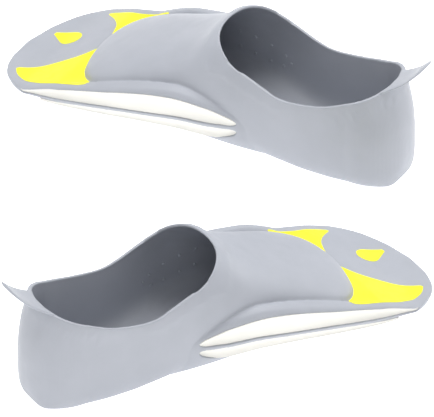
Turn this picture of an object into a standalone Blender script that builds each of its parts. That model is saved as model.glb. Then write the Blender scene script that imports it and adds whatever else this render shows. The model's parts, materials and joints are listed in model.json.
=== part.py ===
"""A pair of short training swim fins, moulded in silicone, lying heel to toe on the floor.

Each fin is a closed-heel foot pocket with a short flexing blade. A collar as wide as the blade wraps
the front of the pocket; its two side walls carry a long upper and a short lower channel inlay, and the
blade's top carries three colour panels. A flat pull tab stands on the heel.

In a fin's own frame x runs from the back of the heel to the toe, y to the foot's left, and z up from
the floor. Sizes are in metres.
"""

import math

import bmesh
import bpy
from mathutils import Matrix, Vector

# Overall sizes
POCKET_LENGTH = 0.295  # back of the heel to the front of the toe box
BLADE_REACH = 0.072  # front of the toe box to the blade's tip
BIG_TOE_HALF = 0.071  # half width of collar and blade on the big toe's side
LITTLE_TOE_HALF = 0.062  # and on the little toe's
FOOT_WIDTH = 0.106  # across the outside of the pocket, at the ball of the foot
HEEL_RADIUS = 0.038  # plan radius of the back of the heel, outside
HEEL_LEAN = 0.012  # how far the top of the heel stands forward of its back
HEEL_BULGE = 0.035  # height of the heel's rearmost point
UNDER_HEEL = 0.010  # how far the heel's lower edge is forward of its back
INSTEP_HEIGHT = 0.099  # top of the pocket at the front of the opening
TOE_BOX_HEIGHT = 0.028  # top of the toe box at its front edge
RIM_LOW = 0.068  # lowest point of the opening, under the ankle
RIM_HEEL = 0.0955  # height of the opening at the heel
OPENING_FRONT = 0.59 * POCKET_LENGTH  # from the back of the heel to the front of the opening
OPENING_REACH = 0.040  # half length of the oval that rounds the opening's front
OPENING_HALF = 0.0482  # and its half width
OPENING_FLARE = 0.8  # how much it widens for each step up, to cut square through the wall
WALL = 0.003
SOLE = 0.006
TOE_CAVITY = POCKET_LENGTH - 0.027  # from the back of the heel to the end of the foot's space
SPACE_TRUE = OPENING_FRONT + 0.016  # up to here the foot's space keeps step with the outside
TOE_START = 0.86 * POCKET_LENGTH  # where the toe box starts to round off
REST_DEPTH = 0.0006  # what is pared off the round heel so that it stands flat
TOP_POWER, SOLE_POWER = 2.4, 4.6  # how square the pocket's section is above and below: 2 is an ellipse
TOE_POWER = 2.6  # and how square its toe end is in plan

# Side channels
RECESS = 0.0026  # depth of a channel in the side wall
INLAY_SET_BACK = 0.0008  # how far an inlay's edges lie below the wall
INLAY_HOLLOW = 0.0007  # how much deeper its middle is
RIB = 0.0033  # wall left between the two channels
RAIL_WIDTH = 0.004  # the step behind the rail's crest, down to the collar's middle
CHANNEL_END = 0.0009  # height at which a channel's pointed end stops
CHANNEL_START = 0.46 * POCKET_LENGTH
CHANNEL_FRONT = POCKET_LENGTH + 0.043
CUT_BEYOND = 0.006  # how far a room to cut out stands outside the wall

# Blade and its flex line
FLEX_RADIUS = 0.0115  # socket in which the blade's round root turns
FLEX_BACK = 0.006  # flex axis behind the front of the toe box
FLEX_HEIGHT = 0.0144
UPPER_LIP, LOWER_LIP = 110, 232  # where the socket's two lips stand round it, in degrees
TIP_UP_ROOM, TIP_DOWN_ROOM = 33, 14  # how steeply the room ahead of them opens below and above, in degrees
TIP_THICKNESS = 0.003
PANEL_THICKNESS = 0.0012

# Heel tab
TAB_LENGTH = 0.038
TAB_WIDTH = 0.034
TAB_END_WIDTH = 0.022
TAB_THICKNESS = 0.003
TAB_RISE = math.radians(44)
TAB_ROOT_RADIUS = 0.0015
TAB_ROOT_WIDTH = 0.016
TAB_ROOT = (0.0118, 0.0962)  # the tab's hinge line, x and z
TAB_THINNING = 0.25  # share of its thickness that the tab loses by its end

GAP = 0.0003  # between pieces that touch
TURNING_GAP = 0.0003  # round a root that turns in its socket

# How the pair lies
TURN = math.radians(32)  # each toe points this far away from straight across
HEEL_ASIDE = 0.156
LANE = 0.298  # from one fin to the other

GREY = (0.55, 0.58, 0.64)
YELLOW = (1.0, 0.98, 0.08)
WHITE = (0.90, 0.89, 0.83)
ROUGHNESS = 0.45

FLEX_X = POCKET_LENGTH - FLEX_BACK
FIN_LENGTH = POCKET_LENGTH + BLADE_REACH
ACROSS = 2 * BIG_TOE_HALF  # half length of what is cut right across the fin
HALF_FOOT = FOOT_WIDTH / 2
FLEX = (FLEX_X, 0, FLEX_HEIGHT)


def curve(points, x):
    """Height of the smooth line through the points (x, height) at x, level beyond its ends."""
    if x <= points[0][0]:
        return points[0][1]
    if x >= points[-1][0]:
        return points[-1][1]
    slopes = []
    for i in range(len(points)):
        before, after = points[max(i - 1, 0)], points[min(i + 1, len(points) - 1)]
        slopes.append((after[1] - before[1]) / (after[0] - before[0]))
    i = max(k for k in range(len(points) - 1) if points[k][0] <= x)
    (x0, y0), (x1, y1) = points[i], points[i + 1]
    span = x1 - x0
    t = (x - x0) / span
    start, end = slopes[i] * span, slopes[i + 1] * span
    return y0 + t * (start + t * (3 * (y1 - y0) - 2 * start - end + t * (start + end - 2 * (y1 - y0))))


def along(*points):
    """A line over the pocket: points given as (share of the pocket's length, height)."""
    return [(share * POCKET_LENGTH, height) for share, height in points]


def ahead(*points):
    """A line over the blade: points given as (distance ahead of the toe box, height)."""
    return [(POCKET_LENGTH + distance, height) for distance, height in points]


# Lines over the fin, in side view or as half widths. All but the blade's start at the heel.
FOOT_HALF_WIDTH = along(
    (0.13, HEEL_RADIUS), (0.20, 0.0415), (0.37, 0.0445), (0.52, HALF_FOOT - 0.0025), (0.70, HALF_FOOT),
    (0.86, HALF_FOOT + 0.004),
)
WIDEST_HEIGHT = along(
    (0.0, HEEL_BULGE), (0.20, 0.037), (0.37, 0.040), (0.52, 0.045), (0.68, 0.043), (0.80, 0.038),
    (0.94, 0.026), (1.0, 0.022),
)
TOP_LINE = along(
    (0.20, 0.160), (0.28, 0.135), (0.37, INSTEP_HEIGHT + 0.009), (0.43, INSTEP_HEIGHT + 0.006),
    (0.51, INSTEP_HEIGHT + 0.007), (0.59, INSTEP_HEIGHT), (0.65, INSTEP_HEIGHT - 0.015),
    (0.72, 0.072), (0.79, 0.062), (0.86, 0.0525), (0.93, 0.0418), (0.975, 0.0340), (1.0, TOE_BOX_HEIGHT),
)
SOLE_LINE = along(
    (0.28, 0.0), (0.37, 0.0025), (0.44, 0.0062), (0.53, 0.0102), (0.62, 0.0120), (0.76, 0.0096),
    (0.90, 0.0066), (1.0, 0.0046),
)
RIM_LINE = along(
    (0.0, 0.101), (0.05, RIM_HEEL), (0.11, 0.0880), (0.20, 0.0775), (0.28, 0.0720), (0.34, RIM_LOW + 0.0025),
    (0.39, RIM_LOW + 0.0065), (0.43, INSTEP_HEIGHT - 0.0200), (0.47, INSTEP_HEIGHT - 0.0158),
    (0.51, INSTEP_HEIGHT - 0.0112),
)

# Width on the little toe's side as a share of that on the big toe's, and how much higher its rail stands
NARROWER = LITTLE_TOE_HALF / BIG_TOE_HALF
COLLAR_SKEW = along(
    (0.50, 1.0), (0.62, 0.93), (0.76, NARROWER), (0.85, NARROWER + 0.020), (1.0, NARROWER + 0.010),
)
FOOT_SKEW = along((0.55, 1.0), (0.75, 0.92), (0.90, 0.86))
LITTLE_TOE_LIFT = along((0.60, 0.0), (0.70, 0.0035), (0.80, 0.0065), (0.87, 0.0045), (0.935, 0.0))

LIFT_DEPTH = 0.012  # how far below the wall's top edge that lift starts
COLLAR_START = 0.34 * POCKET_LENGTH
COLLAR_SOLE = along(
    (0.34, 0.0020), (0.44, 0.0062), (0.54, 0.0102), (0.63, 0.0120), (0.71, 0.0112), (0.87, 0.0074),
    (1.0, 0.0042),
) + ahead((0.029, 0.0018), (0.048, 0.0004), (0.070, 0.0))
COLLAR_SOLE_HALF = along(
    (0.34, 0.034), (0.44, 0.046), (0.54, 0.0545), (0.63, 0.0575), (0.71, BIG_TOE_HALF - 0.0095),
    (0.87, BIG_TOE_HALF - 0.003), (1.0, BIG_TOE_HALF + 0.001),
) + ahead((0.029, BIG_TOE_HALF - 0.001), (0.043, BIG_TOE_HALF - 0.003))
WALL_TOP = along(
    (0.34, 0.024), (0.41, 0.0325), (0.47, 0.0405), (0.54, 0.0492), (0.63, 0.0530), (0.71, 0.0500),
    (0.79, 0.0430), (0.87, 0.0350), (0.94, 0.0285), (1.0, 0.0225),
) + ahead((0.010, 0.0190), (0.029, 0.0110), (0.043, 0.0050), (0.070, TIP_THICKNESS))
WALL_TOP_HALF = along(
    (0.34, 0.037), (0.41, 0.045), (0.47, 0.0525), (0.54, 0.0600), (0.63, 0.0655),
    (0.71, BIG_TOE_HALF - 0.002), (0.79, BIG_TOE_HALF - 0.001), (1.0, BIG_TOE_HALF),
) + ahead((0.043, BIG_TOE_HALF))
RAIL_HEIGHT = along(
    (0.34, 0.024), (0.41, 0.0345), (0.47, 0.0448), (0.54, 0.0535), (0.63, 0.0585), (0.71, 0.0545),
    (0.79, 0.0470), (0.87, 0.0380), (0.94, 0.0290), (1.0, 0.0235),
) + ahead((0.010, 0.0200), (0.029, 0.0120), (0.043, 0.0065), (0.058, 0.0040), (0.070, TIP_THICKNESS))
RAIL_HALF = along(
    (0.34, 0.030), (0.47, 0.044), (0.63, 0.053), (0.79, 0.0563), (0.94, 0.0595), (1.0, 0.0625)
) + ahead((0.010, 0.064), (0.043, 0.065))
RAIL_STEP = along((0.34, 0.003), (0.63, 0.006), (0.87, 0.004), (0.96, 0.0025)) + ahead((0.005, 0.0))

# The blade's two edges, in plan. The edge on the big toe's side reaches further forward.
BIG_TOE_EDGE = [
    (FIN_LENGTH - 0.037, BIG_TOE_HALF), (FIN_LENGTH - 0.028, BIG_TOE_HALF - 0.004),
    (FIN_LENGTH - 0.018, BIG_TOE_HALF - 0.011), (FIN_LENGTH - 0.009, 0.051), (FIN_LENGTH - 0.0035, 0.040),
    (FIN_LENGTH - 0.0008, 0.028),
]
LITTLE_TOE_EDGE = [
    (FIN_LENGTH - 0.046, LITTLE_TOE_HALF), (FIN_LENGTH - 0.036, LITTLE_TOE_HALF - 0.001),
    (FIN_LENGTH - 0.028, LITTLE_TOE_HALF - 0.005), (FIN_LENGTH - 0.0175, 0.044), (FIN_LENGTH - 0.008, 0.023),
    (FIN_LENGTH - 0.0035, 0.007), (FIN_LENGTH - 0.0008, -0.004),
]

# Channel edges on the side wall
UPPER_TOP = along(
    (0.466, 0.0378), (0.50, 0.0428), (0.54, 0.0468), (0.63, 0.0496), (0.71, 0.0468), (0.79, 0.0402),
    (0.87, 0.0325), (0.94, 0.0262), (1.0, 0.0205),
) + ahead((0.010, 0.0175), (0.029, 0.0095), (0.043, 0.0042))
RIB_TOP = along((0.466, 0.0362), (0.61, 0.0310), (0.765, 0.0245), (0.92, 0.0165)) + ahead(
    (0.017, 0.0090), (0.043, 0.0036)
)
LOWER_BOTTOM = along(
    (0.466, 0.0290), (0.49, 0.0225), (0.52, 0.0188), (0.58, 0.0172), (0.72, 0.0152), (0.87, 0.0104),
    (1.0, 0.0064),
) + ahead((0.017, 0.0040))
UPPER_LEVEL = (RIB_TOP, UPPER_TOP, 0.0)  # low edge, high edge, and how far below its line the high one lies
LOWER_LEVEL = (LOWER_BOTTOM, RIB_TOP, RIB)


def spread(start, end, step):
    """Stations from start to end, about a step apart."""
    count = max(1, round((end - start) / step))
    return [start + (end - start) * i / count for i in range(count + 1)]


def power_arc(share, power):
    return max(0.0, 1 - abs(share) ** power) ** (1 / power)


def foot_section(x):
    """The pocket's outside at x: half width, sole, height of the widest place, top."""
    half = curve(FOOT_HALF_WIDTH, x)
    sole = curve(SOLE_LINE, x) - REST_DEPTH
    widest = curve(WIDEST_HEIGHT, x)
    top = curve(TOP_LINE, x)
    if x < HEEL_RADIUS:
        half *= power_arc(1 - x / HEEL_RADIUS, 2)
    if x < UNDER_HEEL:
        sole = widest - (widest - sole) * power_arc(1 - x / UNDER_HEEL, 2)
    lean = widest + (RIM_HEEL - widest) * math.sqrt(x / HEEL_LEAN)
    if x > TOE_START:
        half *= power_arc((x - TOE_START) / (POCKET_LENGTH - TOE_START), TOE_POWER)
    return half, sole, widest, min(top, lean)


def foot_ring(x, at, wall, floor, count):
    """A closed section of the pocket at `at`, shaped as its outside at x but smaller by wall and floor."""
    half, sole, widest, top = foot_section(x)
    half = max(half - wall, 0.0004)
    ring = []
    for i in range(count):
        angle = 2 * math.pi * (i + 0.5) / count
        across, up = math.cos(angle), math.sin(angle)
        upper = up > 0
        power = TOP_POWER if upper else SOLE_POWER
        y = half * math.copysign(abs(across) ** (2 / power), across)
        if across < 0:
            y *= curve(FOOT_SKEW, x)
        reach = (top - wall - widest) if upper else (widest - sole - floor)
        ring.append((at, y, widest + reach * math.copysign(abs(up) ** (2 / power), up)))
    return ring


def corner_cut(points):
    """Rounds an open line by cutting each corner at a quarter of its sides, keeping the two ends."""
    line = [points[0]]
    for (y0, z0), (y1, z1) in zip(points, points[1:]):
        line.append((0.75 * y0 + 0.25 * y1, 0.75 * z0 + 0.25 * z1))
        line.append((0.25 * y0 + 0.75 * y1, 0.25 * z0 + 0.75 * z1))
    return line + [points[-1]]


def across(x, y):
    """Where y on the untapered section lies: drawn in by the blade's edges, and on the little toe's side."""
    big_toe, little_toe = curve(BIG_TOE_EDGE, x), curve(LITTLE_TOE_EDGE, x)
    taper = (big_toe + little_toe) / (BIG_TOE_HALF + LITTLE_TOE_HALF)
    middle = (big_toe - little_toe - taper * (BIG_TOE_HALF - LITTLE_TOE_HALF)) / 2
    return middle + taper * y * (curve(COLLAR_SKEW, x) if y < 0 else 1)


def collar_ring(x):
    """A closed section of the collar and blade at x."""
    sole, rail_half = curve(COLLAR_SOLE, x), curve(RAIL_HALF, x)
    rail = max(curve(RAIL_HEIGHT, x), sole + TIP_THICKNESS)
    top = max(curve(WALL_TOP, x), sole + 0.6 * TIP_THICKNESS)
    groove = rail - curve(RAIL_STEP, x)
    half = corner_cut([
        (0.0, sole), (0.5 * curve(COLLAR_SOLE_HALF, x), sole), (curve(COLLAR_SOLE_HALF, x), sole),
        (curve(WALL_TOP_HALF, x), top), (rail_half, rail), (rail_half - RAIL_WIDTH, groove),
        (0.5 * rail_half, groove), (0.0, groove),
    ])
    lift = curve(LITTLE_TOE_LIFT, x)
    ring = [(x, across(x, y), z) for y, z in half]
    for y, z in half[-2:0:-1]:
        share = min(1.0, y / rail_half) * (z - top + LIFT_DEPTH) / (rail - top + LIFT_DEPTH)
        ring.append((x, across(x, -y), z + lift * min(1.0, max(0.0, share))))
    return ring


def side_at(x, z):
    """The side wall's half width at x and height z."""
    sole, top = curve(COLLAR_SOLE, x), curve(WALL_TOP, x)
    share = (z - sole) / (top - sole)
    low, high = curve(COLLAR_SOLE_HALF, x), curve(WALL_TOP_HALF, x)
    return low + (high - low) * share


def mesh_object(name, mesh, hue, collection):
    mesh.normal_update()
    bmesh.ops.recalc_face_normals(mesh, faces=mesh.faces)
    data = bpy.data.meshes.new(name)
    mesh.to_mesh(data)
    mesh.free()
    item = bpy.data.objects.new(name, data)
    collection.objects.link(item)
    data.shade_smooth()
    data.set_sharp_from_angle(angle=math.radians(35))
    data.materials.append(material(hue))
    return item


def material(hue):
    name = {GREY: "grey_silicone", YELLOW: "yellow_silicone", WHITE: "white_silicone"}[hue]
    found = bpy.data.materials.get(name)
    if found:
        return found
    made = bpy.data.materials.new(name)
    made.use_nodes = True
    shader = made.node_tree.nodes["Principled BSDF"]
    shader.inputs["Base Color"].default_value = (*hue, 1)
    shader.inputs["Roughness"].default_value = ROUGHNESS
    shader.inputs["Metallic"].default_value = 0
    return made


def loft(rings):
    """A closed solid through rings of equal count."""
    mesh = bmesh.new()
    rows = [[mesh.verts.new(point) for point in ring] for ring in rings]
    count = len(rows[0])
    for one, two in zip(rows, rows[1:]):
        for i in range(count):
            k = (i + 1) % count
            mesh.faces.new((one[i], one[k], two[k], two[i]))
    mesh.faces.new(rows[0])
    mesh.faces.new(rows[-1][::-1])
    return mesh


def prism(outline, low, high, place):
    """An outline of pairs extruded from low to high; place(a, b, height) gives each point."""
    return loft([[place(a, b, height) for a, b in outline] for height in (low, high)])


class Fin:
    """One fin: `hand` is 1 for the right one, whose big toe lies towards +y, and -1 for the left."""

    def __init__(self, name, hand, origin, turn):
        self.name, self.hand = name, hand
        self.parts = bpy.data.collections["swim_fins"]
        self.cutters = bpy.data.collections["cutters"]
        self.frame = bpy.data.objects.new(name + "_fin", None)
        self.parts.objects.link(self.frame)
        self.frame.location = origin
        self.frame.rotation_euler = (0, 0, turn)

    def add(self, name, mesh, hue=GREY, cutter=False, pivot=(0, 0, 0), parent=None):
        """Names a mesh made in the fin's frame, puts its origin at the pivot and hangs it on its parent."""
        bmesh.ops.transform(mesh, matrix=Matrix.Diagonal((1, self.hand, 1, 1)), verts=mesh.verts)
        bmesh.ops.translate(mesh, vec=-Vector(pivot), verts=mesh.verts)
        item = mesh_object(f"{self.name}_{name}", mesh, hue, self.cutters if cutter else self.parts)
        item.parent = parent or self.frame
        item.location = Vector(pivot) - (Vector(parent.location) if parent else Vector())
        if cutter:
            item.hide_render = True
            item.display_type = "WIRE"
        return item

    def combine(self, item, other, operation="DIFFERENCE"):
        step = item.modifiers.new(f"{operation.lower()}_{other.name}", "BOOLEAN")
        step.object, step.operation, step.solver = other, operation, "EXACT"


def space_at(x, wall, front):
    """Where the section at x lies in the foot's space: a wall inside the heel, its toe end back at front."""
    if front is None:
        return x
    if x < SPACE_TRUE:
        return wall + x * (SPACE_TRUE - wall) / SPACE_TRUE
    return SPACE_TRUE + (x - SPACE_TRUE) * (front - SPACE_TRUE) / (POCKET_LENGTH - SPACE_TRUE)


def foot_loft(wall=0.0, floor=0.0, front=None, count=24):
    """The pocket's outside, or its cavity when a wall and a floor are given."""
    stations = [0.0003, 0.0015, 0.004, 0.008, 0.014, 0.022, 0.032]
    stations += spread(0.045, 0.90 * POCKET_LENGTH, 0.017)
    stations += [POCKET_LENGTH * share for share in (0.93, 0.955, 0.975, 0.99, 0.998)]
    return loft([foot_ring(x, space_at(x, wall, front), wall, floor, count) for x in stations])


def collar_loft():
    stations = spread(COLLAR_START, POCKET_LENGTH, 0.016)
    stations += spread(POCKET_LENGTH, FIN_LENGTH - 0.018, 0.009)[1:]
    stations += [FIN_LENGTH - back for back in (0.0125, 0.008, 0.0035, 0.0008)]
    return loft([collar_ring(x) for x in stations])


def side_view(x, z, y):
    """A prism's outline in side view, drawn from one side of the fin to the other."""
    return x, y, z


def plan_view(x, y, z):
    """A prism's outline in plan, drawn upwards."""
    return x, y, z


def rim_cutter():
    """Everything above the opening's edge, from side to side."""
    behind, above = -0.010, 0.200
    line = [(x, curve(RIM_LINE, x)) for x in spread(behind, RIM_LINE[-1][0], 0.009)]
    line += [(RIM_LINE[-1][0], above), (behind, above)]
    return prism(line, -ACROSS, ACROSS, side_view)


def opening_arch():
    """The opening's round front: an oval that widens upwards, so that it cuts square through the wall."""
    height = INSTEP_HEIGHT - WALL
    turns = [2 * math.pi * i / 40 for i in range(40)]
    rings = []
    for z in (height - 0.014, height + 0.016):
        size = 1 + OPENING_FLARE * (z - height) / OPENING_REACH
        length, half = size * OPENING_REACH, size * OPENING_HALF
        middle = OPENING_FRONT - OPENING_REACH
        rings.append([(middle + length * math.cos(a), half * math.sin(a), z) for a in turns])
    return loft(rings)


def round_bar(radius, x, z, half_length, segments=40):
    mesh = bmesh.new()
    bmesh.ops.create_cone(
        mesh, cap_ends=True, segments=segments, radius1=radius, radius2=radius, depth=2 * half_length,
        matrix=Matrix.Translation((x, 0, z)) @ Matrix.Rotation(math.pi / 2, 4, "X"),
    )
    return mesh


def flex_point(degrees, radius=FLEX_RADIUS):
    angle = math.radians(degrees)
    return FLEX_X + radius * math.cos(angle), FLEX_HEIGHT + radius * math.sin(angle)


def flex_front():
    """The room that the blade sweeps ahead of the pocket, between its lips."""
    upper, lower = flex_point(UPPER_LIP), flex_point(LOWER_LIP)
    run = 0.120
    outline = [
        (FLEX_X, FLEX_HEIGHT),
        upper,
        (upper[0] + run, upper[1] + run * math.tan(math.radians(TIP_DOWN_ROOM))),
        (lower[0] + run, lower[1] - run * math.tan(math.radians(TIP_UP_ROOM))),
        lower,
    ]
    return prism(outline, -ACROSS, ACROSS, side_view)


def front_block():
    """All that lies ahead of the flex line."""
    front, below, above = FIN_LENGTH + 0.02, -0.02, 0.08
    outline = [(FLEX_X, below), (front, below), (front, above), (FLEX_X, above)]
    return prism(outline, -ACROSS, ACROSS, side_view)


def floor_block():
    """All that lies below the floor."""
    back, front, side = -0.05, FIN_LENGTH + 0.05, FIN_LENGTH
    return prism([(back, -side), (front, -side), (front, side), (back, side)], -0.02, 0.0, plan_view)


def channel(level, start, end, side, inlay=False):
    """A solid along one side wall between a channel's two edges, its ends where it gets too low.

    side is 1 on the big toe's side and -1 on the little toe's. Without inlay it is the room to cut out of
    the wall; with it, it is the hollow-faced strip that fits.
    """
    low_line, high_line, drop = level
    clearance = GAP if inlay else 0
    stations = spread(start, end, 0.010)
    if inlay:
        stations[0] += GAP
        stations[-1] -= GAP
    rings = []
    for x in stations:
        low, high = curve(low_line, x) + clearance, curve(high_line, x) - drop - clearance
        if high - low < CHANNEL_END:
            continue
        middle = (low + high) / 2
        back = RECESS - clearance
        face = INLAY_SET_BACK if inlay else -CUT_BEYOND
        hollow = min(INLAY_HOLLOW, 0.08 * (high - low)) if inlay else 0
        depths = [(low, back), (middle, back), (high, back)]
        depths += [(high, face), (middle, face + hollow), (low, face)]
        rings.append([(x, across(x, side * side_at(x, z)) - side * depth, z) for z, depth in depths])
    return loft(rings)


def grown(outline, by):
    """A closed outline moved outwards by a distance along its own corners."""
    area = sum(a[0] * b[1] - b[0] * a[1] for a, b in zip(outline, outline[1:] + outline[:1]))
    turn = 1 if area > 0 else -1
    moved = []
    for i, point in enumerate(outline):
        before, after = Vector(outline[i - 1]), Vector(outline[(i + 1) % len(outline)])
        here = Vector(point)
        one = (here - before).normalized()
        two = (after - here).normalized()
        out = Vector((one.y + two.y, -one.x - two.x)) * turn
        out.normalize()
        lean = max(0.35, math.sqrt((1 + one.dot(two)) / 2))
        moved.append(tuple(here + out * (by / lean)))
    return moved


def panel_outlines():
    """The colour panels in plan, set back from the blade's edges and from the flex line."""
    back, tip = FLEX_X + 0.003, FIN_LENGTH
    big, little = BIG_TOE_HALF - 0.0085, LITTLE_TOE_HALF - 0.011
    inner = [
        (back, big), (tip - 0.050, big), (tip - 0.030, big - 0.004), (tip - 0.017, big - 0.013),
        (tip - 0.014, big - 0.019), (tip - 0.038, 0.033), (tip - 0.058, 0.021), (back + 0.002, 0.004),
        (back, 0.010),
    ]
    outer = [
        (back, -little), (back + 0.016, -little), (back + 0.029, -little), (back + 0.013, 0.011 - little),
        (back + 0.009, 0.018 - little), (back + 0.004, 0.033 - little), (back, 0.030 - little),
    ]
    body, point = Vector((tip - 0.0305, -0.0115)), Vector((tip - 0.012, -0.0145))
    radius = 0.0092
    aim = math.atan2(point.y - body.y, point.x - body.x)
    open_angle = math.acos(radius / (point - body).length)
    arc = (aim + open_angle + (2 * math.pi - 2 * open_angle) * k / 12 for k in range(13))
    drop = [tuple(point)] + [(body.x + radius * math.cos(a), body.y + radius * math.sin(a)) for a in arc]
    return {"inner_panel": inner, "outer_panel": outer, "center_drop": drop}


def tab_mesh():
    """The pull tab: a round root bar that widens into a flat tongue with a rounded end, rising backwards."""
    run, widest = TAB_LENGTH, TAB_WIDTH / 2
    end = TAB_END_WIDTH / 2
    half = [
        (0.2 * TAB_ROOT_RADIUS, TAB_ROOT_WIDTH / 2), (0.004, widest - 0.002), (0.010, widest),
        (0.5 * run, 0.5 * (widest + end) + 0.002),
    ]
    corner = 0.55 * end
    for turn in (0, 25, 50, 72):
        angle = math.radians(turn)
        half.append((run - corner * (1 - math.sin(angle)), end * math.cos(angle)))
    outline = half + [(s, -y) for s, y in half[::-1]]
    lift = Vector((-math.cos(TAB_RISE), 0, math.sin(TAB_RISE)))
    thick = Vector((math.sin(TAB_RISE), 0, math.cos(TAB_RISE)))

    def place(s, y, height):
        slim = 1 - TAB_THINNING * s / run
        return Vector((TAB_ROOT[0], y, TAB_ROOT[1])) + s * lift + height * slim * thick

    return prism(outline, -TAB_THICKNESS / 2, TAB_THICKNESS / 2, place)


def build_pocket(fin, collar):
    """The foot pocket: foot form and collar as one, hollowed, opened and cut free for blade and tab."""
    pocket = fin.add("foot_pocket", foot_loft())
    fin.combine(pocket, collar, "UNION")
    opening = fin.add("rim_cutter", rim_cutter(), cutter=True)
    fin.combine(opening, fin.add("opening_arch", opening_arch(), cutter=True), "UNION")
    notch = round_bar(TAB_ROOT_RADIUS + TURNING_GAP, *TAB_ROOT, TAB_ROOT_WIDTH / 2 + GAP, 20)
    for other in (
        fin.add("foot_space", foot_loft(WALL, SOLE, TOE_CAVITY, 20), cutter=True),
        opening,
        fin.add("blade_sweep", flex_front(), cutter=True),
        fin.add("flex_socket", round_bar(FLEX_RADIUS, FLEX_X, FLEX_HEIGHT, ACROSS), cutter=True),
        fin.add("tab_notch", notch, cutter=True),
        fin.add("floor_block", floor_block(), cutter=True),
    ):
        fin.combine(pocket, other)
    return pocket


def build_blade(fin):
    """The blade: what lies ahead of the flex line, with a round root that turns in the pocket's socket."""
    keeper = fin.add("blade_keeper", front_block(), cutter=True)
    knuckle = round_bar(FLEX_RADIUS - TURNING_GAP, FLEX_X, FLEX_HEIGHT, ACROSS)
    fin.combine(keeper, fin.add("blade_knuckle", knuckle, cutter=True), "UNION")
    blade = fin.add("blade", collar_loft(), pivot=FLEX)
    fin.combine(blade, keeper, "INTERSECT")
    return blade


def build_channels(fin, pocket, blade):
    """Each channel's inlay is two pieces that part at the flex line: on the pocket and on the blade."""
    rear_end = FLEX_X - FLEX_RADIUS - 0.004
    spans = {"rear": (CHANNEL_START, rear_end, pocket), "front": (FLEX_X + 0.002, CHANNEL_FRONT, blade)}
    for edge, side in (("inner", 1), ("outer", -1)):
        for height, level in (("upper", UPPER_LEVEL), ("lower", LOWER_LEVEL)):
            for span, (start, end, owner) in spans.items():
                room = fin.add(f"{edge}_{height}_{span}_room", channel(level, start, end, side), cutter=True)
                fin.combine(owner, room)
                on_blade = owner is blade
                fin.add(
                    f"{edge}_{height}_channel_{span}", channel(level, start, end, side, inlay=True), WHITE,
                    pivot=FLEX if on_blade else (0, 0, 0), parent=blade if on_blade else None,
                )


def build_panels(fin, blade):
    """Thin colour panels let into the blade's top."""
    for panel, outline in panel_outlines().items():
        room = fin.add(panel + "_room", prism(grown(outline, GAP), -0.02, 0.06, plan_view), cutter=True)
        under = fin.add(panel + "_under", collar_loft(), cutter=True)
        under.location.z -= PANEL_THICKNESS + GAP
        fin.combine(room, under)
        fin.combine(blade, room)
        shape = fin.add(panel + "_shape", prism(outline, -0.02, 0.06, plan_view), cutter=True)
        piece = fin.add(panel, collar_loft(), YELLOW, pivot=FLEX, parent=blade)
        fin.combine(piece, shape, "INTERSECT")
        below = fin.add(panel + "_below", collar_loft(), cutter=True)
        below.location.z -= PANEL_THICKNESS
        fin.combine(piece, below)


def build_tab(fin):
    """The pull tab, with the round root bar that it turns on."""
    root = (TAB_ROOT[0], 0, TAB_ROOT[1])
    tab = fin.add("heel_tab", tab_mesh(), pivot=root)
    bar = round_bar(TAB_ROOT_RADIUS, *TAB_ROOT, TAB_ROOT_WIDTH / 2, 20)
    fin.combine(tab, fin.add("tab_root", bar, cutter=True), "UNION")


def build_fin(name, hand, origin, turn):
    fin = Fin(name, hand, origin, turn)
    pocket = build_pocket(fin, fin.add("collar_form", collar_loft(), cutter=True))
    blade = build_blade(fin)
    build_channels(fin, pocket, blade)
    build_panels(fin, blade)
    build_tab(fin)
    return fin


def centre(fins):
    """Moves both fins together so that the pair's box is centred on the origin, from front to back."""
    bpy.context.view_layer.update()
    graph = bpy.context.evaluated_depsgraph_get()
    reach = []
    for item in bpy.data.collections["swim_fins"].objects:
        if item.type == "MESH":
            shown = item.evaluated_get(graph)
            reach += [(shown.matrix_world @ point.co).y for point in shown.to_mesh().vertices]
            shown.to_mesh_clear()
    for fin in fins:
        fin.frame.location.y -= (min(reach) + max(reach)) / 2


def main():
    for item in list(bpy.data.objects):
        bpy.data.objects.remove(item)
    for name in ("swim_fins", "cutters"):
        bpy.context.scene.collection.children.link(bpy.data.collections.new(name))
    bpy.data.collections["cutters"].hide_render = True
    fins = [
        build_fin("right", 1, (HEEL_ASIDE, LANE / 2, 0), math.pi - TURN),
        build_fin("left", -1, (-HEEL_ASIDE, -LANE / 2, 0), TURN),
    ]
    centre(fins)


main()
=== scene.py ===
"""The finished look of a pair of short training swim fins, moulded in soft silicone.

Each fin is modelled once in its own frame (x from the heel to the toe, y to the big toe's side, z up) and
then laid down twice, the left one turned over left to right. Sizes are in metres.
"""

import json
import math

import bpy
import numpy as np
from mathutils import Matrix, Vector


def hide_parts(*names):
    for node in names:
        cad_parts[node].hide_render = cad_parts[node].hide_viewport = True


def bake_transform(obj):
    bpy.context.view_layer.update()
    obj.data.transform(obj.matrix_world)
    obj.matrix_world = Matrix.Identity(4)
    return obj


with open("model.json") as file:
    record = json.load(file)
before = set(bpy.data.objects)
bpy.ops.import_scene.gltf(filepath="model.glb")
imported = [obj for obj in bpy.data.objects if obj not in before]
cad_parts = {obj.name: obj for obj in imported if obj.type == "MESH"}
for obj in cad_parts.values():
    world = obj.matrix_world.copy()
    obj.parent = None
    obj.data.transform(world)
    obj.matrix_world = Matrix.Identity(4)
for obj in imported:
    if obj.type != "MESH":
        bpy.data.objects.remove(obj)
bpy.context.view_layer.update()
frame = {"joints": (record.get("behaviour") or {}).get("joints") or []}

# Sizes shared with the moulds
POCKET_LENGTH = 0.295
FIN_LENGTH = 0.3672
BIG_TOE_HALF = 0.071
LITTLE_TOE_HALF = 0.062
HALF_FOOT = 0.053
HEEL_RADIUS = 0.038
HEEL_LEAN = 0.012
HEEL_BULGE = 0.035
INSTEP_HEIGHT = 0.099
TOE_BOX_HEIGHT = 0.028
RIM_LOW = 0.068
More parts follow.
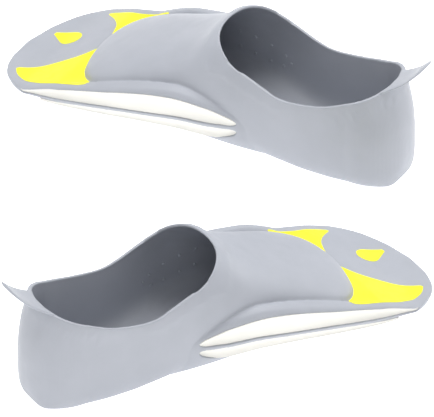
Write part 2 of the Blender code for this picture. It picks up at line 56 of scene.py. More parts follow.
RIM_HEEL = 0.0955
OPENING_FRONT = 0.1720
OPENING_REACH = 0.040
OPENING_HALF = 0.0482
OPENING_FLARE = 0.45  # how much the opening's front widens for each step up
WALL = 0.003
SOLE = 0.006
TOE_CAVITY = 0.268
REST_DEPTH = 0.0006
REST = 0.00005  # the soles end this far above the floor
TIP_THICKNESS = 0.003
UNDER_HEEL = 0.010
SPACE_TRUE = OPENING_FRONT + 0.016  # up to here the foot's space keeps step with the outside
TOE_START = 0.86 * POCKET_LENGTH
FLEX_X = 0.289
TOP_POWER = 2.4  # how square the pocket's section is above its widest place: 2 is an ellipse
TOE_POWER = 2.6  # and how square its toe end is in plan
RAIL_WIDTH = 0.004  # the step behind the rail's crest, down to the collar's middle

# Surface details
RIB = 0.0038
RECESS = 0.0030
CUT_BEYOND = 0.006
INLAY_SET_BACK = 0.0013
INLAY_HOLLOW = 0.0012
INLAY_BITE = 0.0003  # how far an inlay's hidden edges run into the moulding
PANEL_PROUD = 0.00025
PANEL_DEPTH = 0.0012
BAND_DEPTH = 0.011  # the thicker band under the opening's edge
BAND_PROUD = 0.0006
RIM_THINNING = 0.0011  # what the wall loses on its inner side, at the opening's edge
RIM_DEPTH, RIM_FADE = 0.001, 0.014  # how far down that goes in full, and over what length it ends
BAND_FADE = 0.0025  # length over which the band ends
ARCH_SPAN = 0.044  # length along the wall for a doubling of the opening's oval
NUB_RADIUS = 0.0014
FINE = 0.0008  # size of the moulding's surface net
MOST_FACES = 190000

# Heel tab
TAB_ROOT = (0.0118, 0.0962)
TAB_LENGTH = 0.0378
TAB_RISE = math.radians(44)
TAB_BURIED = 0.0025
TAB_CORNER = 0.0065  # length over which its end rounds off
TAB_HALF_THICKNESS = 0.0015
TAB_BEND = 0.006  # length from its root to a bend point, which build_pair works out but does not use


def curve(points, x):
    """Height at x of the smooth line through the points, level beyond its ends."""
    if x <= points[0][0]:
        return points[0][1]
    if x >= points[-1][0]:
        return points[-1][1]
    slopes = []
    for i in range(len(points)):
        before, after = points[max(i - 1, 0)], points[min(i + 1, len(points) - 1)]
        slopes.append((after[1] - before[1]) / (after[0] - before[0]))
    i = max(k for k in range(len(points) - 1) if points[k][0] <= x)
    (x0, y0), (x1, y1) = points[i], points[i + 1]
    span = x1 - x0
    t = (x - x0) / span
    start, end = slopes[i] * span, slopes[i + 1] * span
    return y0 + t * (start + t * (3 * (y1 - y0) - 2 * start - end + t * (start + end - 2 * (y1 - y0))))


def along(*points):
    """A line over the pocket: points given as (share of the pocket's length, height)."""
    return [(share * POCKET_LENGTH, height) for share, height in points]


def ahead(*points):
    """A line over the blade: points given as (distance ahead of the toe box, height)."""
    return [(POCKET_LENGTH + distance, height) for distance, height in points]


FOOT_HALF_WIDTH = along(
    (0.13, HEEL_RADIUS), (0.20, 0.0415), (0.37, 0.0445), (0.52, HALF_FOOT - 0.0025), (0.70, HALF_FOOT),
    (0.86, HALF_FOOT + 0.004),
)
WIDEST_HEIGHT = along(
    (0.0, HEEL_BULGE), (0.20, 0.037), (0.37, 0.040), (0.52, 0.045), (0.68, 0.043), (0.80, 0.038),
    (0.94, 0.026), (1.0, 0.022),
)
TOP_LINE = along(
    (0.20, 0.160), (0.28, 0.135), (0.37, INSTEP_HEIGHT + 0.009), (0.43, INSTEP_HEIGHT + 0.006),
    (0.51, INSTEP_HEIGHT + 0.007), (0.59, INSTEP_HEIGHT), (0.65, INSTEP_HEIGHT - 0.015),
    (0.72, 0.072), (0.79, 0.062), (0.86, 0.0525), (0.93, 0.0418), (0.975, 0.0340), (1.0, TOE_BOX_HEIGHT),
)
NARROWER = LITTLE_TOE_HALF / BIG_TOE_HALF
COLLAR_SKEW = along(
    (0.50, 1.0), (0.62, 0.93), (0.76, NARROWER), (0.85, NARROWER + 0.020), (1.0, NARROWER + 0.010),
)
LITTLE_TOE_LIFT = along((0.60, 0.0), (0.70, 0.0035), (0.80, 0.0065), (0.87, 0.0045), (0.935, 0.0))
FOOT_SKEW = along((0.55, 1.0), (0.75, 0.92), (0.90, 0.86))
SOLE_LINE = along(
    (0.28, 0.0), (0.37, 0.0025), (0.44, 0.0062), (0.53, 0.0102), (0.62, 0.0120), (0.76, 0.0096),
    (0.90, 0.0066), (1.0, 0.0046),
)
RIM_LINE = along(
    (0.0, 0.101), (0.05, RIM_HEEL), (0.11, 0.0880), (0.20, 0.0775), (0.28, 0.0720), (0.34, RIM_LOW + 0.0025),
    (0.39, RIM_LOW + 0.0065), (0.43, INSTEP_HEIGHT - 0.0200), (0.47, INSTEP_HEIGHT - 0.0158),
    (0.51, INSTEP_HEIGHT - 0.0112),
)
LIFT_DEPTH = 0.012  # how far below the wall's top edge that lift starts
SOLE_POWER = along((0.0, 3.8), (0.30, 4.6))  # how square the section is below its widest place
COLLAR_START = 0.34 * POCKET_LENGTH
COLLAR_SOLE = along(
    (0.34, 0.0020), (0.44, 0.0062), (0.54, 0.0102), (0.63, 0.0120), (0.71, 0.0112), (0.87, 0.0074),
    (1.0, 0.0042),
) + ahead((0.029, 0.0018), (0.048, 0.0004), (0.070, 0.0))
COLLAR_SOLE_HALF = along(
    (0.34, 0.034), (0.44, 0.046), (0.54, 0.0545), (0.63, 0.0575), (0.71, BIG_TOE_HALF - 0.0095),
    (0.87, BIG_TOE_HALF - 0.003), (1.0, BIG_TOE_HALF + 0.001),
) + ahead((0.029, BIG_TOE_HALF - 0.001), (0.043, BIG_TOE_HALF - 0.003))
WALL_TOP = along(
    (0.34, 0.024), (0.41, 0.0325), (0.47, 0.0405), (0.54, 0.0492), (0.63, 0.0530), (0.71, 0.0500),
    (0.79, 0.0430), (0.87, 0.0350), (0.94, 0.0285), (1.0, 0.0225),
) + ahead((0.010, 0.0190), (0.029, 0.0110), (0.043, 0.0050), (0.070, TIP_THICKNESS))
WALL_TOP_HALF = along(
    (0.34, 0.037), (0.41, 0.045), (0.47, 0.0525), (0.54, 0.0600), (0.63, 0.0655),
    (0.71, BIG_TOE_HALF - 0.002), (0.79, BIG_TOE_HALF - 0.001), (1.0, BIG_TOE_HALF),
) + ahead((0.043, BIG_TOE_HALF))
RAIL_HEIGHT = along(
    (0.34, 0.024), (0.41, 0.0345), (0.47, 0.0448), (0.54, 0.0535), (0.63, 0.0585), (0.71, 0.0545),
    (0.79, 0.0470), (0.87, 0.0380), (0.94, 0.0290), (1.0, 0.0235),
) + ahead((0.010, 0.0200), (0.029, 0.0120), (0.043, 0.0065), (0.058, 0.0040), (0.070, TIP_THICKNESS))
RAIL_HALF = along(
    (0.34, 0.030), (0.47, 0.044), (0.63, 0.053), (0.79, 0.0563), (0.94, 0.0595), (1.0, 0.0625)
) + ahead((0.010, 0.064), (0.043, 0.065))
RAIL_STEP = along((0.34, 0.003), (0.63, 0.006), (0.87, 0.004), (0.96, 0.0025)) + ahead((0.005, 0.0))
BIG_TOE_EDGE = [
    (FIN_LENGTH - 0.037, BIG_TOE_HALF), (FIN_LENGTH - 0.028, BIG_TOE_HALF - 0.004),
    (FIN_LENGTH - 0.018, BIG_TOE_HALF - 0.011), (FIN_LENGTH - 0.009, 0.051), (FIN_LENGTH - 0.0035, 0.040),
    (FIN_LENGTH - 0.0008, 0.028),
]
LITTLE_TOE_EDGE = [
    (FIN_LENGTH - 0.046, LITTLE_TOE_HALF), (FIN_LENGTH - 0.036, LITTLE_TOE_HALF - 0.001),
    (FIN_LENGTH - 0.028, LITTLE_TOE_HALF - 0.005), (FIN_LENGTH - 0.0175, 0.044), (FIN_LENGTH - 0.008, 0.023),
    (FIN_LENGTH - 0.0035, 0.007), (FIN_LENGTH - 0.0008, -0.004),
]
UPPER_TOP = along(
    (0.455, 0.0372), (0.50, 0.0428), (0.54, 0.0468), (0.63, 0.0496), (0.71, 0.0468), (0.79, 0.0402),
    (0.87, 0.0325), (0.94, 0.0262), (1.0, 0.0205),
) + ahead((0.010, 0.0175), (0.029, 0.0095), (0.043, 0.0042))
RIB_TOP = along((0.455, 0.0338), (0.61, 0.0310), (0.765, 0.0245), (0.92, 0.0165)) + ahead(
    (0.017, 0.0090), (0.043, 0.0036)
)
LOWER_BOTTOM = along(
    (0.455, 0.0250), (0.49, 0.0210), (0.52, 0.0185), (0.58, 0.0172), (0.72, 0.0152), (0.87, 0.0104),
    (1.0, 0.0064),
) + ahead((0.017, 0.0040))
CHANNEL_SPAN = (0.459 * POCKET_LENGTH, POCKET_LENGTH + 0.048)

# Small grip nubs inside the pocket's side walls: distance from the heel and height
NUBS = [
    (0.192, 0.0490), (0.177, 0.0480), (0.162, 0.0450), (0.147, 0.0410),
    (0.191, 0.0335), (0.177, 0.0315), (0.162, 0.0295), (0.149, 0.0300), (0.141, 0.0355),
]


def power_arc(share, power):
    return max(0.0, 1 - abs(share) ** power) ** (1 / power)


def soft_step(value):
    value = min(1.0, max(0.0, value))
    return value * value * (3 - 2 * value)


def foot_section(x):
    """The pocket's outside at x: half width, sole, height of the widest place, top."""
    half = curve(FOOT_HALF_WIDTH, x)
    sole = curve(SOLE_LINE, x) - REST_DEPTH
    widest = curve(WIDEST_HEIGHT, x)
    if x < HEEL_RADIUS:
        half *= power_arc(1 - x / HEEL_RADIUS, 2)
    if x < UNDER_HEEL:
        sole = widest - (widest - sole) * power_arc(1 - x / UNDER_HEEL, 2)
    lean = widest + (RIM_HEEL - widest) * math.sqrt(x / HEEL_LEAN)
    if x > TOE_START:
        half *= power_arc((x - TOE_START) / (POCKET_LENGTH - TOE_START), TOE_POWER)
    return half, sole, widest, min(curve(TOP_LINE, x), lean)


def foot_ring(x, at, wall, floor, count):
    """A closed section of the pocket at `at`, shaped as its outside at x but smaller by wall and floor."""
    half, sole, widest, top = foot_section(x)
    half = max(half - wall, 0.0004)
    ring = []
    for i in range(count):
        angle = 2 * math.pi * (i + 0.5) / count
        across, up = math.cos(angle), math.sin(angle)
        power = TOP_POWER if up > 0 else curve(SOLE_POWER, x)
        y = half * math.copysign(abs(across) ** (2 / power), across)
        if across < 0:
            y *= curve(FOOT_SKEW, x)
        reach = (top - wall - widest) if up > 0 else (widest - sole - floor)
        ring.append((at, y, widest + reach * math.copysign(abs(up) ** (2 / power), up)))
    return ring


def inner_wall(at, z):
    """Half width of the foot's space at `at` and height z."""
    x = (at - WALL) * SPACE_TRUE / (SPACE_TRUE - WALL)
    half, sole, widest, top = foot_section(x)
    upper = z > widest
    reach = (top - WALL - widest) if upper else (widest - sole - SOLE)
    power = TOP_POWER if upper else curve(SOLE_POWER, x)
    return (half - WALL) * power_arc((z - widest) / reach, power)


def corner_cut(points):
    """Rounds an open line by cutting each corner at a quarter of its sides, keeping the two ends."""
    line = [points[0]]
    for (y0, z0), (y1, z1) in zip(points, points[1:]):
        line.append((0.75 * y0 + 0.25 * y1, 0.75 * z0 + 0.25 * z1))
        line.append((0.25 * y0 + 0.75 * y1, 0.25 * z0 + 0.75 * z1))
    return line + [points[-1]]


def across(x, y):
    """Where y on the untapered section lies: drawn in by the blade's edges, and on the little toe's side."""
    big_toe, little_toe = curve(BIG_TOE_EDGE, x), curve(LITTLE_TOE_EDGE, x)
    taper = (big_toe + little_toe) / (BIG_TOE_HALF + LITTLE_TOE_HALF)
    middle = (big_toe - little_toe - taper * (BIG_TOE_HALF - LITTLE_TOE_HALF)) / 2
    return middle + taper * y * (curve(COLLAR_SKEW, x) if y < 0 else 1)


def collar_ring(x, raised=0.0):
    """A closed section of the collar and blade at x, its top moved up by raised."""
    sole, rail_half = curve(COLLAR_SOLE, x), curve(RAIL_HALF, x)
    rail = max(curve(RAIL_HEIGHT, x), sole + TIP_THICKNESS) + raised
    top = max(curve(WALL_TOP, x), sole + 0.6 * TIP_THICKNESS) + raised
    groove = rail - curve(RAIL_STEP, x)
    half = [
        (0.0, sole), (0.5 * curve(COLLAR_SOLE_HALF, x), sole), (curve(COLLAR_SOLE_HALF, x), sole),
        (curve(WALL_TOP_HALF, x), top), (rail_half, rail), (rail_half - RAIL_WIDTH, groove),
        (0.5 * rail_half, groove), (0.0, groove),
    ]
    for _ in range(3):
        half = corner_cut(half)
    lift = curve(LITTLE_TOE_LIFT, x)
    ring = [(x, across(x, y), z) for y, z in half]
    for y, z in half[-2:0:-1]:
        share = min(1.0, y / rail_half) * (z - top + LIFT_DEPTH) / (rail - top + LIFT_DEPTH)
        ring.append((x, across(x, -y), z + lift * min(1.0, max(0.0, share))))
    return ring


def side_at(x, z):
    """The side wall's half width at x and height z."""
    sole, top = curve(COLLAR_SOLE, x), curve(WALL_TOP, x)
    low, high = curve(COLLAR_SOLE_HALF, x), curve(WALL_TOP_HALF, x)
    return low + (high - low) * (z - sole) / (top - sole)


def spread(start, end, step):
    """Stations from start to end, about a step apart."""
    count = max(1, round((end - start) / step))
    return [start + (end - start) * i / count for i in range(count + 1)]


# Modelling helpers


def only(piece):
    """Makes one piece the selected and active one."""
    if bpy.context.object and bpy.context.object.mode != "OBJECT":
        bpy.ops.object.mode_set(mode="OBJECT")
    bpy.ops.object.select_all(action="DESELECT")
    piece.select_set(True)
    bpy.context.view_layer.objects.active = piece
    return piece


def wrapped(name, rings):
    """A grid wrapped round closed sections of equal count, its seam merged and its two ends filled."""
    bpy.ops.object.select_all(action="DESELECT")
    bpy.ops.mesh.primitive_grid_add(x_subdivisions=len(rings[0]), y_subdivisions=len(rings) - 1, size=1)
    piece = bpy.context.object
    piece.name = name
    points = [point for ring in rings for point in (*ring, ring[0])]
    piece.data.vertices.foreach_set("co", np.array(points, float).ravel())
    bpy.ops.object.mode_set(mode="EDIT")
    bpy.ops.mesh.select_all(action="SELECT")
    bpy.ops.mesh.remove_doubles(threshold=1e-6)
    bpy.ops.mesh.fill_holes(sides=0)
    bpy.ops.mesh.select_all(action="SELECT")
    bpy.ops.mesh.normals_make_consistent(inside=False)
    bpy.ops.object.mode_set(mode="OBJECT")
    return piece


def cut(piece, tool, operation="DIFFERENCE", keep=False):
    """Applies a Boolean of piece and tool, and removes the tool unless it is kept."""
    only(piece)
    step = piece.modifiers.new(operation.title(), "BOOLEAN")
    step.object, step.operation, step.solver = tool, operation, "EXACT"
    bpy.ops.object.modifier_apply(modifier=step.name)
    if not keep:
        bpy.data.objects.remove(tool)
    return piece


def finish_surface(piece, net, rounds, most):
    """Gives the piece one even net, rounds off its edges and thins it to at most so many faces."""
    only(piece)
    remesh = piece.modifiers.new("Net", "REMESH")
    remesh.mode, remesh.voxel_size, remesh.adaptivity = "VOXEL", net, 0
    bpy.ops.object.modifier_apply(modifier=remesh.name)
    smooth = piece.modifiers.new("Soften", "SMOOTH")
    smooth.factor, smooth.iterations = 0.5, rounds
    bpy.ops.object.modifier_apply(modifier=smooth.name)
    triangles = sum(len(face.vertices) - 2 for face in piece.data.polygons)
    if triangles > most:
        thin = piece.modifiers.new("Thin", "DECIMATE")
        thin.ratio = most / triangles
        bpy.ops.object.modifier_apply(modifier=thin.name)
    bpy.ops.object.shade_smooth()
    return piece


# The grey moulding


def space_at(x, wall, front):
    """Where the section at x lies in the foot's space: a wall inside the heel, its toe end back at front."""
    if front is None:
        return x
    if x < SPACE_TRUE:
        return wall + x * (SPACE_TRUE - wall) / SPACE_TRUE
    return SPACE_TRUE + (x - SPACE_TRUE) * (front - SPACE_TRUE) / (POCKET_LENGTH - SPACE_TRUE)


def foot_form(name, wall=0.0, floor=0.0, front=None, count=96):
    stations = [0.0002, 0.0008, 0.0018, 0.0032, 0.005, 0.007, 0.009]
    stations += spread(0.0115, 0.90 * POCKET_LENGTH, 0.003)
    tail = spread(0.0, 1.0, 1 / 14)[1:-1]
    stations += [POCKET_LENGTH * (1 - 0.1 * (1 - share) ** 2) for share in tail] + [0.9998 * POCKET_LENGTH]
    return wrapped(name, [foot_ring(x, space_at(x, wall, front), wall, floor, count) for x in stations])


def collar_form(name, lift=0.0):
    stations = spread(COLLAR_START, FIN_LENGTH - 0.012, 0.0025)
    stations += [FIN_LENGTH - back for back in (0.0105, 0.009, 0.0075, 0.006, 0.0045, 0.003, 0.0018, 0.0008)]
    return wrapped(name, [collar_ring(x, lift) for x in stations])


def below_opening(x, y, z):
    """How far a point of the wall lies outside the opening's edge, along the surface."""
    arch_start = OPENING_FRONT - OPENING_REACH
    arch = (math.hypot(max(0.0, x - arch_start) / OPENING_REACH, y / OPENING_HALF) - 1) * ARCH_SPAN
    return max(curve(RIM_LINE, x) - z, arch if x > arch_start else -1)


def move_near_rim(form, distance, depth, fade):
    """Moves a form's surface out along its normals, down to depth under the opening's edge."""
    normals = [point.normal.copy() for point in form.data.vertices]
    for point, normal in zip(form.data.vertices, normals):
        share = soft_step((below_opening(*point.co) - depth) / fade)
        point.co += normal * distance * (1 - share)
    return form


def opening_tool():
    """What is cut away above the opening's edge, with its round front."""
    behind, above = -0.010, 0.200
    line = [(x, curve(RIM_LINE, x)) for x in spread(behind, RIM_LINE[-1][0], 0.003)]
    line += [(RIM_LINE[-1][0], above), (behind, above)]
    tool = wrapped("opening", [[(x, side, z) for x, z in line] for side in (-0.1, 0.1)])
    height = INSTEP_HEIGHT - WALL
    turns = [2 * math.pi * i / 96 for i in range(96)]
    rings = []
    for z in (height - 0.014, height + 0.016):
        size = 1 + OPENING_FLARE * (z - height) / OPENING_REACH
        length, half, middle = size * OPENING_REACH, size * OPENING_HALF, OPENING_FRONT - OPENING_REACH
        rings.append([(middle + length * math.cos(a), half * math.sin(a), z) for a in turns])
    return cut(tool, wrapped("arch", rings), "UNION")


def channel_form(name, inlay):
    """A channel's room, or the hollow-faced inlay that fills it, with round ends."""
    low_line, high_line, drop, side = CHANNELS[name]
    start, end = CHANNEL_SPAN
    bite = INLAY_BITE if inlay else 0.0
    rings = []
    for x in spread(start, end, 0.0014):
        low, high = curve(low_line, x), curve(high_line, x) - drop
        if high - low < 0.0008:
            continue
        rounding = min(0.0065, 1.8 * (high - low))
        share = power_arc(1 - min(1.0, (x - start + 0.0002) / rounding), 2)
        middle, half = (low + high) / 2, share * (high - low) / 2 + bite
        steps = [middle + half * k / 6 for k in range(-6, 7)]
        hollow = min(INLAY_HOLLOW, 0.12 * (high - low)) if inlay else 0.0
        face = INLAY_SET_BACK if inlay else -CUT_BEYOND
        depths = [(z, RECESS + bite) for z in steps]
        depths += [(z, face + hollow * (1 - ((z - middle) / half) ** 2)) for z in reversed(steps)]
        rings.append([(x, across(x, side * side_at(x, z)) - side * depth, z) for z, depth in depths])
    return wrapped(name, rings)


CHANNELS = {
    "inner_upper_channel": (RIB_TOP, UPPER_TOP, 0.0, 1),
    "inner_lower_channel": (LOWER_BOTTOM, RIB_TOP, RIB, 1),
    "outer_upper_channel": (RIB_TOP, UPPER_TOP, 0.0, -1),
    "outer_lower_channel": (LOWER_BOTTOM, RIB_TOP, RIB, -1),
}


def add_nubs(moulding):
    """Small flat domes on the inner side walls, modelled once and copied."""
    bpy.ops.object.select_all(action="DESELECT")
    bpy.ops.mesh.primitive_uv_sphere_add(segments=12, ring_count=8, radius=NUB_RADIUS)
    pattern = bpy.context.object
    bpy.ops.object.mode_set(mode="EDIT")
    bpy.ops.transform.resize(value=(1, 0.7, 1))
    bpy.ops.object.mode_set(mode="OBJECT")
    bpy.ops.object.shade_smooth()
    copies = []
    for x, z in NUBS:
        for side in (1, -1):
            skew = curve(FOOT_SKEW, x) if side < 0 else 1.0
            copy = pattern.copy()
            copy.data = pattern.data.copy()
            bpy.context.scene.collection.objects.link(copy)
            copy.data.transform(Matrix.Translation((x, side * skew * inner_wall(x, z), z)))
            copies.append(copy)
    bpy.data.objects.remove(pattern)
    only(moulding)
    for copy in copies:
        copy.select_set(True)
    bpy.ops.object.join()


def moulding_form():
    """Foot pocket, collar and blade as one shell, hollowed, opened and channelled."""
    foot = move_near_rim(foot_form("moulding"), BAND_PROUD, BAND_DEPTH, BAND_FADE)
    cut(foot, collar_form("collar"), "UNION")
    space = foot_form("foot_space", WALL, SOLE, TOE_CAVITY, 80)
    cut(foot, move_near_rim(space, RIM_THINNING, RIM_DEPTH, RIM_FADE))
    cut(foot, opening_tool())
    for name in CHANNELS:
        cut(foot, channel_form(name, False))
    finish_surface(foot, FINE * (1), 3, MOST_FACES)
    for point in foot.data.vertices:
        point.co.z = max(point.co.z, REST)
    add_nubs(foot)
    return foot


# Colour panels


def rounded(points, rounds=3):
    """A closed outline with its corners cut again and again until it is smooth."""
    for _ in range(rounds):
        line = []
        for (x0, y0), (x1, y1) in zip(points, points[1:] + points[:1]):
            line.append((0.82 * x0 + 0.18 * x1, 0.82 * y0 + 0.18 * y1))
            line.append((0.18 * x0 + 0.82 * x1, 0.18 * y0 + 0.82 * y1))
        points = line
    return points


def panel_outlines():
    """Plan outlines of the colour panels."""
    inner = [
        (0.2740, 0.0635), (0.3160, 0.0635), (0.3340, 0.0590), (0.3480, 0.0510), (0.3545, 0.0425),
        (0.3425, 0.0385), (0.3280, 0.0325), (0.3175, 0.0260), (0.3085, 0.0200), (0.3015, 0.0125),
        (0.2935, -0.0020), (0.2880, 0.0050), (0.2820, 0.0400), (0.2750, 0.0530),
    ]
    outer = [
        (0.3250, -0.0520), (0.2967, -0.0525), (0.2600, -0.0530), (0.2740, -0.0400), (0.2850, -0.0300),
        (0.2900, -0.0140), (0.2955, -0.0040), (0.2985, -0.0200), (0.3025, -0.0320), (0.3110, -0.0420),
    ]
    body, point, radius = Vector((0.3350, -0.0115)), Vector((0.3545, -0.0145)), 0.0095
    aim = math.atan2(point.y - body.y, point.x - body.x)
    half_gap = math.acos(radius / (point - body).length)
    turns = [aim + half_gap + (2 * math.pi - 2 * half_gap) * k / 24 for k in range(25)]
    drop = [tuple(point)] + [(body.x + radius * math.cos(a), body.y + radius * math.sin(a)) for a in turns]
    return {"inner_panel": rounded(inner), "outer_panel": rounded(outer), "center_drop": rounded(drop, 1)}


def panel_form(name, outline):
    """A slice of the blade's top under an outline, standing a hair proud of it."""
    slab = collar_form(name, PANEL_PROUD)
    cut(slab, wrapped("outline", [[(x, y, z) for x, y in outline] for z in (-0.02, 0.06)]), "INTERSECT")
    under = collar_form("under", PANEL_PROUD - PANEL_DEPTH)
    cut(slab, under)
    only(slab)
    bpy.ops.object.shade_smooth_by_angle(angle=math.radians(30))
    return slab


# Heel tab


def tab_half_width(s):
    """Half the tab's width at a distance s from its root."""
    half = curve([(-0.002, 0.0205), (0.004, 0.0185), (0.010, 0.0172), (0.020, 0.0158), (0.034, 0.0136)], s)
    if s > TAB_LENGTH - TAB_CORNER:
        half *= power_arc((s - TAB_LENGTH + TAB_CORNER) / TAB_CORNER, 2.5)
    return half


def tab_form():
    """A flat tongue that rises backwards, its root curved round the heel's rim."""
    lift = Vector((-math.cos(TAB_RISE), 0, math.sin(TAB_RISE)))
    thick = Vector((math.sin(TAB_RISE), 0, math.cos(TAB_RISE)))
    stations = spread(-TAB_BURIED, TAB_LENGTH - TAB_CORNER, 0.0011)
    stations += [TAB_LENGTH - TAB_CORNER * (1 - k / 14) ** 2 for k in range(1, 14)] + [TAB_LENGTH - 0.00002]
    rings = []
    for s in stations:
        half = tab_half_width(s)
        depth = TAB_HALF_THICKNESS * (1 - 0.25 * max(0.0, s) / TAB_LENGTH) * min(1.0, 0.25 + half / 0.006)
        bow = 0.0012 * math.sin(math.pi * max(0.0, s) / TAB_LENGTH)
        ring = []
        for i in range(64):
            angle = 2 * math.pi * (i + 0.5) / 64
            y = half * math.copysign(abs(math.cos(angle)) ** (2 / 5), math.cos(angle))
            height = depth * math.copysign(abs(math.sin(angle)) ** (2 / 3), math.sin(angle)) - bow
            place = Vector((TAB_ROOT[0], y, TAB_ROOT[1])) + s * lift + height * thick
            wrap = HEEL_RADIUS - math.sqrt(HEEL_RADIUS ** 2 - y * y)
            wrap *= 1 - soft_step(s / 0.022)
            ring.append((place.x + wrap, place.y, place.z - 0.42 * wrap))
        rings.append(ring)
    tab = wrapped("heel_tab", rings)
    bpy.ops.object.shade_smooth_by_angle(angle=math.radians(40))
    return tab


# Finishes


def node(tree, kind, **inputs):
    made = tree.nodes.new(kind)
    for name, value in inputs.items():
        made.inputs[name.replace("_", " ")].default_value = value
    return made


def silicone(name, pale, deep, roughness, grain):
    """Moulded silicone: a faint cloudiness in the colour, a fine grain, and a painted highlight that
    lightens the colour on convex edges.
    """
    material = bpy.data.materials.new(name)
    material.use_nodes = True
    tree = material.node_tree
    shader = tree.nodes["Principled BSDF"]
    place = tree.nodes.new("ShaderNodeTexCoord")
    cloud = node(tree, "ShaderNodeTexNoise", Scale=38.0, Detail=3.0, Roughness=0.55)
    tint = tree.nodes.new("ShaderNodeValToRGB")
    tint.color_ramp.elements[0].position, tint.color_ramp.elements[1].position = 0.30, 0.70
    tint.color_ramp.elements[0].color = (*deep, 1)
    tint.color_ramp.elements[1].color = (*pale, 1)
    edge = tree.nodes.new("ShaderNodeNewGeometry")
    # Painted highlight: the colour is lightened where the surface is convex (high pointiness), standing in
    # for light catching the rounded edges
    painted_edge_highlight_amount = node(tree, "ShaderNodeMapRange", From_Min=0.52, From_Max=0.60, To_Min=0.0, To_Max=0.22)
    painted_edge_highlight_mix = tree.nodes.new("ShaderNodeMix")
    painted_edge_highlight_mix.data_type = "RGBA"
    painted_edge_highlight_mix.inputs["B"].default_value = (*[min(1.0, 1.12 * c + 0.02) for c in pale], 1)
    patch = node(tree, "ShaderNodeTexNoise", Scale=90.0, Detail=4.0, Roughness=0.6)
    satin = node(
        tree, "ShaderNodeMapRange", From_Min=0.35, From_Max=0.65,
        To_Min=roughness - 0.05, To_Max=roughness + 0.05,
    )
    pores = node(tree, "ShaderNodeTexNoise", Scale=1400.0, Detail=2.0, Roughness=0.5)
    bump = node(tree, "ShaderNodeBump", Strength=grain, Distance=0.0002)
    links = tree.links
    for texture in (cloud, patch, pores):
        links.new(place.outputs["Object"], texture.inputs["Vector"])
    links.new(cloud.outputs["Fac"], tint.inputs["Fac"])
    links.new(edge.outputs["Pointiness"], painted_edge_highlight_amount.inputs["Value"])
    links.new(painted_edge_highlight_amount.outputs["Result"], painted_edge_highlight_mix.inputs["Factor"])
    links.new(tint.outputs["Color"], painted_edge_highlight_mix.inputs["A"])
    links.new(painted_edge_highlight_mix.outputs["Result"], shader.inputs["Base Color"])
    links.new(patch.outputs["Fac"], satin.inputs["Value"])
    links.new(satin.outputs["Result"], shader.inputs["Roughness"])
    links.new(pores.outputs["Fac"], bump.inputs["Height"])
    links.new(bump.outputs["Normal"], shader.inputs["Normal"])
    shader.inputs["Specular IOR Level"].default_value = 0.35
    return material


GREY = silicone("grey_silicone_finish", (0.405, 0.423, 0.470), (0.385, 0.403, 0.448), 0.50, 0.12)
YELLOW = silicone("yellow_silicone_finish", (0.93, 0.90, 0.040), (0.90, 0.87, 0.032), 0.46, 0.10)
WHITE = silicone("white_silicone_finish", (0.80, 0.79, 0.745), (0.77, 0.76, 0.715), 0.46, 0.10)


# Laying the pair down


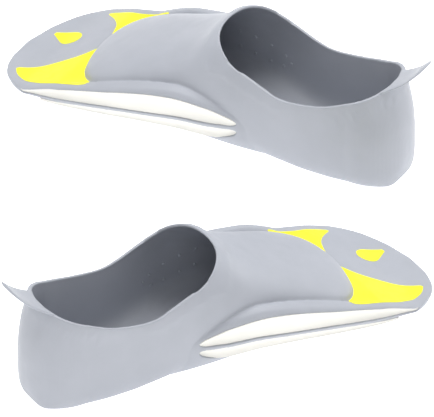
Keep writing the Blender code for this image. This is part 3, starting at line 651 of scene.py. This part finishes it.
class Side:
    """Where one fin lies: read from the hinge line of its blade."""

    def __init__(self, name, hand):
        self.name, self.hand = name, hand
        joint = next(j for j in frame["joints"] if j["name"] == name + "_blade_flex")
        pivot, axis = Vector(joint["pos_m"]), Vector(joint["axis"]).normalized()
        self.toe = Vector((-axis.y, axis.x, 0))
        heel = pivot - FLEX_X * self.toe
        turn = math.atan2(self.toe.y, self.toe.x)
        self.place = Matrix.Translation((heel.x, heel.y, 0)) @ Matrix.Rotation(turn, 4, "Z")

    def at(self, x, z):
        return tuple(self.place @ Vector((x, 0, z)))

    def lay(self, form, name, finish, slot, nodes):
        """A copy of a form in this fin's place, standing for the CAD nodes named."""
        piece = bpy.data.objects.new(f"{self.name}_{name}", form.data.copy())
        bpy.context.scene.collection.objects.link(piece)
        piece.data.transform(self.place @ Matrix.Diagonal((1, self.hand, 1, 1)))
        if self.hand < 0:
            piece.data.flip_normals()
        piece.data.materials.clear()
        piece.data.materials.append(finish)
        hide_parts(*[f"{self.name}_{node_name}" for node_name in nodes])
        return piece

    def flex(self, piece):
        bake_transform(piece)


def build_pair():
    forms = {"moulding": (moulding_form(), GREY, "grey_silicone", ["foot_pocket", "blade"])}
    for name in CHANNELS:
        form = channel_form(name, True)
        bpy.ops.object.shade_smooth_by_angle(angle=math.radians(40))
        forms[name] = (form, WHITE, "white_silicone", [name + "_rear", name + "_front"])
    for name, outline in panel_outlines().items():
        forms[name] = (panel_form(name, outline), YELLOW, "yellow_silicone", [name])
    tab = tab_form()
    for side in (Side("right", 1), Side("left", -1)):
        for name, (form, finish, slot, nodes) in forms.items():
            side.flex(side.lay(form, name, finish, slot, nodes))
        piece = side.lay(tab, "tab", GREY, "grey_silicone", ["heel_tab"])
        x, z = TAB_ROOT
        bent = side.at(x - TAB_BEND * math.cos(TAB_RISE), z + TAB_BEND * math.sin(TAB_RISE))
        side.at(x, z)
        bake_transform(piece)
    for form in [tab] + [entry[0] for entry in forms.values()]:
        bpy.data.objects.remove(form)


# Studio


def studio():
    bpy.ops.object.select_all(action="DESELECT")
    bpy.ops.mesh.primitive_plane_add(size=8)
    floor = bpy.context.object
    floor.name = "floor"
    paper = bpy.data.materials.new("pale_paper")
    paper.use_nodes = True
    shader = paper.node_tree.nodes["Principled BSDF"]
    shader.inputs["Base Color"].default_value = (0.93, 0.93, 0.93, 1)
    shader.inputs["Roughness"].default_value = 0.9
    shader.inputs["Specular IOR Level"].default_value = 0.1
    shader.inputs["Emission Color"].default_value = (1, 1, 1, 1)
    shader.inputs["Emission Strength"].default_value = 0.75
    floor.data.materials.append(paper)

    world = bpy.data.worlds.new("studio")
    bpy.context.scene.world = world
    world.use_nodes = True
    world.node_tree.nodes["Background"].inputs["Color"].default_value = (1, 1, 1, 1)
    world.node_tree.nodes["Background"].inputs["Strength"].default_value = 0.47

    for name, place, size, watts in (
        ("overhead", (0.0, 0.5, 2.2), 1.8, 50.0), ("front_fill", (-0.4, -2.0, 1.2), 1.6, 5.0),
        ("heel_side", (1.9, 0.9, 0.7), 1.2, 9.0),
    ):
        data = bpy.data.lights.new(name, "AREA")
        data.energy, data.size = watts, size
        lamp = bpy.data.objects.new(name, data)
        lamp.location = place
        lamp.rotation_euler = Vector(place).to_track_quat("Z", "Y").to_euler()
        bpy.context.scene.collection.objects.link(lamp)

    aim, elevation, distance = Vector((-0.0008, 0.0067, 0)), math.radians(37), 14.80
    data = bpy.data.cameras.new("camera")
    data.lens, data.sensor_width = 1500, 36
    data.clip_start, data.clip_end = 1, 40
    camera = bpy.data.objects.new("camera", data)
    back = Vector((0, -math.cos(elevation), math.sin(elevation)))
    camera.location = aim + distance * back
    camera.rotation_euler = back.to_track_quat("Z", "Y").to_euler()
    bpy.context.scene.collection.objects.link(camera)
    bpy.context.scene.camera = camera
    bpy.context.scene.view_settings.view_transform = "Standard"


build_pair()
studio()
